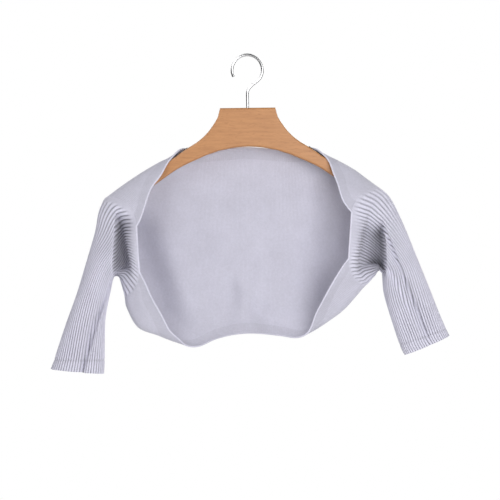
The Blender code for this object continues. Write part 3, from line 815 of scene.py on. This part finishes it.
def make_tube(name, places, deep, wall, seam_row, after_top=None):
    """Ribbed tube, sunk at the row of its cuff seam.

    Where after_top is given, its ribs rise from its first place on.
    """
    outer, inner, painted_brightness_rows = [], [], []
    phase = np.arange(RIBS * RIB_POINTS) / RIB_POINTS
    profile = rib_profile(phase)
    distance, before = np.zeros(phase.shape), None
    for u in places:
        a = rib_angles(u, RIBS * RIB_POINTS)
        line = np.full(a.shape, u)
        face, normal = cloth(line, a), outward(line, a)
        if before is not None:
            distance = distance + np.linalg.norm(face - before, axis=1)
        before = face
        half = RIB_POINTS // 2
        pitch = np.linalg.norm(np.roll(face, -half, axis=0) - np.roll(face, half, axis=0), axis=1)
        share = np.ones(a.shape) if after_top is None else rib_rise(distance, a, after_top)
        rise = share * np.clip((pitch - RIB_THIN) * RIB_SHARE, 0.0, deep)
        outer.append(face - normal * (rise * (1 - profile))[:, None])
        inner.append(face - normal * wall)
        # Painted shade: the attribute darkens rib grooves, deep clefts and where no rib has risen.
        cleft = np.clip(-crease_push(face[:, 0], face[:, 2], 0.0) / CLEFT_FULL, 0.0, 1.0)
        cleft = np.where(normal[:, 1] < CLEFT_FACING, cleft, 0.0)
        shade = PLAIN_SHADE * (1 - share) + CLEFT_SHADE * cleft
        painted_brightness_rows.append(1 - rise / deep * (1 - profile) - shade)
    outer, painted_brightness_rows = np.array(outer), np.array(painted_brightness_rows)
    # The cuff seam sinks, and painted shade darkens it.
    outer[seam_row] += (np.array(inner)[seam_row] - outer[seam_row]) * SEAM_SINK / wall
    painted_brightness_rows[seam_row] -= SEAM_SHADE
    knit = knit_material(name + "_yarn", *SLEEVE_STITCH, tone=SLEEVE_TONE)
    piece = shell(name + "_knit", outer, np.array(inner), True, knit, painted_brightness_rows)
    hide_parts(name)
    return piece


def make_sleeves():
    """Both ribbed sleeves with their cuffs."""
    made = []
    for side, step in (("left", -1), ("right", 1)):
        head = shifted(place(side + " corner"), SEAM_LINE / 2, step)
        cuff, end = place(side + " cuff seam"), place(side + " cuff end")
        places = spread_places(head, shifted(cuff, SEAM_LINE / 2, -step), RING_STEP)
        after_top = RIBS_AFTER_TOP[side]
        made.append(make_tube("sleeve_" + side, places, RIB_DEEP, SLEEVE_WALL, -1, after_top))
        rim = spread_places(shifted(cuff, SEAM_LINE / 2, step), end, RING_STEP)
        made.append(make_tube("cuff_" + side, rim, CUFF_RIB_DEEP, CUFF_WALL, 0))
    return made


def tube_along(name, path, radius, sides, material, closed=False):
    """Round cord of mesh along a path of points."""
    path = np.asarray(path, float)
    if closed:
        way = np.roll(path, -1, axis=0) - np.roll(path, 1, axis=0)
    else:
        way = np.gradient(path, axis=0)
    way /= np.linalg.norm(way, axis=1, keepdims=True)
    turn = np.linspace(0.0, 2 * np.pi, sides, endpoint=False)
    up = np.array([0.0, 1.0, 0.0])
    first = np.cross(way, up)
    # Where the path runs nearly along y, its rings start from another direction.
    weak = np.linalg.norm(first, axis=1) < 0.3
    first[weak] = np.cross(way[weak], np.array([0.0, 0.0, 1.0]))
    first /= np.linalg.norm(first, axis=1, keepdims=True)
    second = np.cross(way, first)
    ring = first[:, None] * np.cos(turn)[None, :, None] + second[:, None] * np.sin(turn)[None, :, None]
    vertices = path[:, None] + radius * ring
    rows = len(path)
    quads = []
    for i in range(rows if closed else rows - 1):
        k = (i + 1) % rows
        for j in range(sides):
            m = (j + 1) % sides
            quads.append((i * sides + j, i * sides + m, k * sides + m, k * sides + j))
    run = np.concatenate([[0.0], np.cumsum(np.linalg.norm(np.diff(path, axis=0), axis=1))])
    flat = [(j * radius * 2 * math.pi / sides, run[i]) for i in range(rows) for j in range(sides)]
    flat_map = np.array(flat)[np.array(quads).ravel()] * MM
    piece = mesh_piece(name, vertices.reshape(-1, 3) * MM, np.array(quads), flat_map, material)
    # A cord starts with no painted shade.
    painted_brightness = np.ones(rows * sides, np.float32)
    piece.data.attributes.new("painted_brightness", "FLOAT", "POINT").data.foreach_set("value", painted_brightness)
    return piece


def make_opening_edge():
    """Fine corded edge all round the open front."""
    left, right = place("left corner"), place("right corner")
    across = spread_places(left, right, EDGE_STEP)
    middle = 0.5 * BAND_WALL - BAND_PROUD
    upper = [(u, open_span(u)[0]) for u in across]
    lower = [(u, open_span(u)[1]) for u in across[::-1]]
    right_start, right_end = open_span(right)
    left_start, left_end = open_span(left)
    down = np.linspace(right_start, right_end + 360.0, UPRIGHT_STEPS)[1:-1]
    up = np.linspace(left_end + 360.0, left_start, UPRIGHT_STEPS)[1:-1]
    upright_right = [(right, angle) for angle in down]
    upright_left = [(left, angle) for angle in up]
    loop = np.array(upper + upright_right + lower + upright_left)
    face, normal = cloth(loop[:, 0], loop[:, 1]), outward(loop[:, 0], loop[:, 1])
    yarn = knit_material("edge_yarn", *EDGE_STITCH, tone=EDGE_TONE)
    path = face - normal * middle
    cord = tube_along("opening_edge", path, EDGE_CORD, EDGE_SIDES, yarn, closed=True)
    # Painted shade: the cord darkens the further back it lies.
    behind = np.clip(0.5 + path[:, 1] / EDGE_CHANGE, 0.0, 1.0)
    rear_shade_values = np.repeat(1.0 - EDGE_REAR_SHADE * behind, EDGE_SIDES).astype(np.float32)
    cord.data.attributes["painted_brightness"].data.foreach_set("value", rear_shade_values)
    return cord


def make_hanger():
    """Rounded wooden hanger."""
    rows = np.array(HANGER_HALF)
    t = np.linspace(0.0, len(rows) - 1.0, WOOD_SECTIONS)
    half = np.stack([smooth_rows(rows[:, k], t) for k in range(3)], axis=-1)
    straight = t <= STRAIGHT_ROWS - 1
    for k in range(2):
        half[straight, k] = np.interp(t[straight], np.arange(STRAIGHT_ROWS), rows[:STRAIGHT_ROWS, k])
    profile = np.concatenate([half[:0:-1] * [-1, 1, 1], half])
    sections = []
    for x, top, bottom in profile:
        turn = min(WOOD_ROUND, (top - bottom) / 2 - WOOD_FLAT)
        section = []
        for side, edge, start in ((1, top, 0), (-1, top, 90), (-1, bottom, 180), (1, bottom, 270)):
            centre_y = side * (WOOD_THICK / 2 - turn)
            centre_z = edge - turn if edge == top else edge + turn
            for step in np.linspace(0.0, 90.0, ROUND_STEPS):
                angle = math.radians(start + step)
                new_x, new_z = rolled(x, centre_z + turn * math.sin(angle))
                section.append((new_x, centre_y + turn * math.cos(angle), new_z))
        sections.append(section)
    count, around = len(sections), len(sections[0])
    quads = []
    for i in range(count - 1):
        for j in range(around):
            a, b = i * around + j, i * around + (j + 1) % around
            quads.append((a, b, b + around, a + around))
    vertices = np.array(sections).reshape(-1, 3) * MM
    wood = mesh_piece("hanger_wood", vertices, np.array(quads), None, beech_material())
    close_ends(wood)
    wood.modifiers.new("flat_faces", "WEIGHTED_NORMAL").keep_sharp = True
    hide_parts("hanger")
    return wood


def make_hook():
    """Wire hook with a rounded tip, its stem going down into the wood."""
    top = half_height(0.0, "top")
    radius = HOOK_INNER_RADIUS + WIRE / 2
    path = [(0.0, top - STEM_DEPTH), *HOOK_NECK]
    for angle in np.linspace(HOOK_START_ANGLE, HOOK_TIP_ANGLE, BOW_STEPS):
        a = math.radians(angle)
        path.append((radius * math.cos(a), radius * math.sin(a) - HOOK_INNER_RADIUS))
    points = np.array(path)
    t = np.linspace(0.0, len(points) - 1.0, WIRE_RINGS)
    line = np.stack([smooth_rows(points[:, k], t) for k in range(2)], axis=-1)
    spots = []
    for px, pz in line:
        new_x, new_z = rolled(px, pz)
        spots.append((new_x, 0.0, new_z))
    hook = tube_along("hook_wire", spots, WIRE / 2, WIRE_SIDES, steel_material())
    close_ends(hook)
    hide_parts("hook")
    return hook


def look_along(way):
    """Rotation that points a light or camera along a direction."""
    flat = math.hypot(way[0], way[1])
    return (math.atan2(flat, -way[2]), 0.0, math.atan2(-way[0], way[1]))


def make_studio():
    """Pale floor, white surroundings, soft lights and the camera."""
    floor = bpy.data.meshes.new("floor")
    turns = [2 * math.pi * k / FLOOR_SIDES for k in range(FLOOR_SIDES)]
    ring = [(FLOOR_RADIUS_M * math.cos(t), FLOOR_RADIUS_M * math.sin(t), FLOOR_HEIGHT_M) for t in turns]
    floor.from_pydata(ring, [], [tuple(range(FLOOR_SIDES))])
    ground = bpy.data.objects.new("floor", floor)
    floor.materials.append(pale_material())
    bpy.context.scene.collection.objects.link(ground)

    world = bpy.data.worlds.new("studio")
    world.use_nodes = True
    tree = world.node_tree
    tree.nodes["Background"].inputs["Color"].default_value = (1.0, 1.0, 1.0, 1.0)
    tree.nodes["Background"].inputs["Strength"].default_value = AMBIENT
    seen = tree.nodes.new("ShaderNodeBackground")
    seen.inputs["Color"].default_value = (1.0, 1.0, 1.0, 1.0)
    path = tree.nodes.new("ShaderNodeLightPath")
    choose = tree.nodes.new("ShaderNodeMixShader")
    tree.links.new(path.outputs["Is Camera Ray"], choose.inputs[0])
    tree.links.new(tree.nodes["Background"].outputs[0], choose.inputs[1])
    tree.links.new(seen.outputs[0], choose.inputs[2])
    tree.links.new(choose.outputs[0], tree.nodes["World Output"].inputs["Surface"])
    bpy.context.scene.world = world
    bpy.context.scene.view_settings.view_transform = "Standard"

    for name, azimuth, elevation, size_m, watts in LIGHTS:
        light = bpy.data.lights.new(name, "AREA")
        light.size, light.energy = size_m, watts
        lamp = bpy.data.objects.new(name, light)
        a, e = math.radians(azimuth), math.radians(elevation)
        way = np.array((math.sin(a) * math.cos(e), -math.cos(a) * math.cos(e), math.sin(e)))
        lamp.location = np.array(MIDDLE_M) + LIGHT_AWAY_M * way
        lamp.rotation_euler = look_along(-way)
        bpy.context.scene.collection.objects.link(lamp)

    lens = bpy.data.cameras.new("camera")
    lens.sensor_width = SENSOR_WIDE
    lens.lens = SENSOR_WIDE * CAMERA_AWAY_M / FRAME_WIDE_M
    camera = bpy.data.objects.new("camera", lens)
    camera.location = (MIDDLE_M[0], -CAMERA_AWAY_M, MIDDLE_M[2])
    camera.rotation_euler = (math.radians(90.0), 0.0, 0.0)
    bpy.context.scene.collection.objects.link(camera)
    bpy.context.scene.camera = camera


make_studio()
body = make_body()
neck = make_band("neck_band", 0.0, NECK_BAND)
hem = make_band("hem_band", -HEM_BAND, 0.0)
sleeves = make_sleeves()
edge = make_opening_edge()
make_hanger()
make_hook()
strips = strip_material()
for side in ("left", "right"):
    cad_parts["grip_" + side].data.materials[0] = strips
